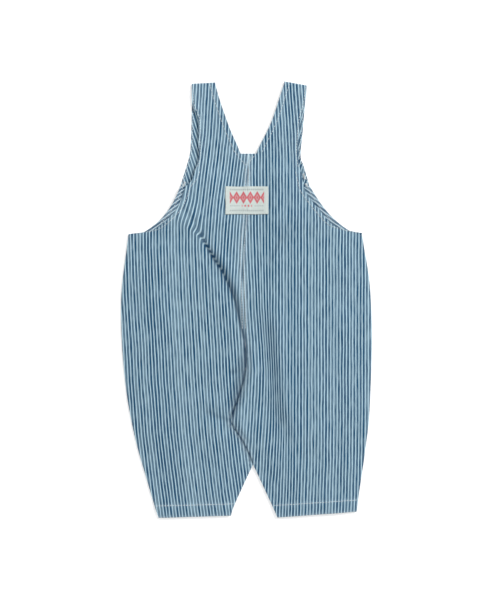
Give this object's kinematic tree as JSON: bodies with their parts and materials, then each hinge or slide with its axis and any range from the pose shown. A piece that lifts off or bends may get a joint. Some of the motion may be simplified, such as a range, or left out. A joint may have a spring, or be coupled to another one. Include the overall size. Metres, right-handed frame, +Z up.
{
  "type": "toddler dungarees",
  "caption": "Sleeveless striped denim dungarees for a toddler, short wide legs, straps buttoned to the bib, laid flat with the back uppermost.",
  "frame": {"origin": "centre of the garment's outline on the surface it lies on", "axes": "+Z up from the surface, towards the back of the garment; +Y towards the shoulders; +X to the wearer's right"},
  "size_m": [0.3014, 0.5244, 0.0099],
  "materials": {
    "denim": "indigo and off-white stripes, matt twill",
    "woven_label": "pale woven ribbon, slight sheen",
    "button_metal": "aged brass, satin"
  },
  "bodies": {
    "root": {"back_left": "denim", "back_right": "denim", "front_left": "denim", "front_right": "denim", "armhole_facing_left": "denim", "armhole_facing_right": "denim", "label": "woven_label", "button_left": "button_metal", "button_right": "button_metal"}
  },
  "joints": []
}
